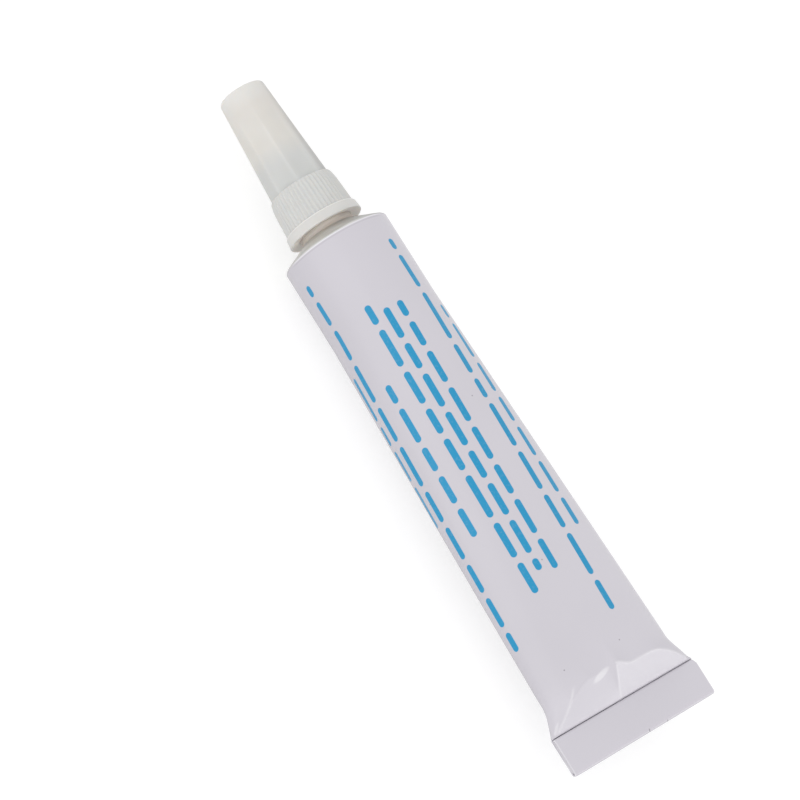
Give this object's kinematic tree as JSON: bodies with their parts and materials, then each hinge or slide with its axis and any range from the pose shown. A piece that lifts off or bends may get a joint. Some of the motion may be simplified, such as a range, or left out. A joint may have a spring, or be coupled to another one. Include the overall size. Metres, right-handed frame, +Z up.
{
  "type": "squeeze tube of jewellery glue",
  "caption": "Collapsible metal glue tube with a folded tail, a fluted screw-on needle nozzle and a tapered pull-off cap that carries a wire pin.",
  "frame": {"origin": "under the middle of the tube as it lies on its back, at the level of its lowest line", "axes": "+X along the tube from the folded tail to the cap, +Z up out of the printed front, +Y to its left"},
  "size_m": [0.1049, 0.025, 0.016],
  "materials": {
    "white_enamel": "satin",
    "adhesive": "gloss",
    "latex": "matte",
    "white_plastic": "satin",
    "needle_steel": "satin",
    "milky_plastic": "satin",
    "wire_steel": "satin"
  },
  "bodies": {
    "tube": {"tube_shell": "white_enamel", "adhesive_fill": "adhesive", "tail_seal": "latex"},
    "needle": {"needle": "needle_steel"},
    "collar": {"nozzle_collar": "white_plastic"},
    "cap": {"cap": "milky_plastic", "cap_wire": "wire_steel"}
  },
  "joints": [
    {"name": "nozzle_lift", "type": "slide", "parent": "tube", "child": "needle", "axis": [1, 0, 0], "range_m": [0, 0.005]},
    {"name": "nozzle_turn", "type": "hinge", "parent": "needle", "child": "collar", "pos_m": [0.034, 0, 0.008], "axis": [1, 0, 0], "range_deg": [0, 1800]},
    {"name": "cap_pull", "type": "slide", "parent": "collar", "child": "cap", "axis": [1, 0, 0], "range_m": [0, 0.02]}
  ],
  "couplings": [
    {"joint": "nozzle_turn", "follows": "nozzle_lift", "rad_per_m": 6283.1}
  ]
}
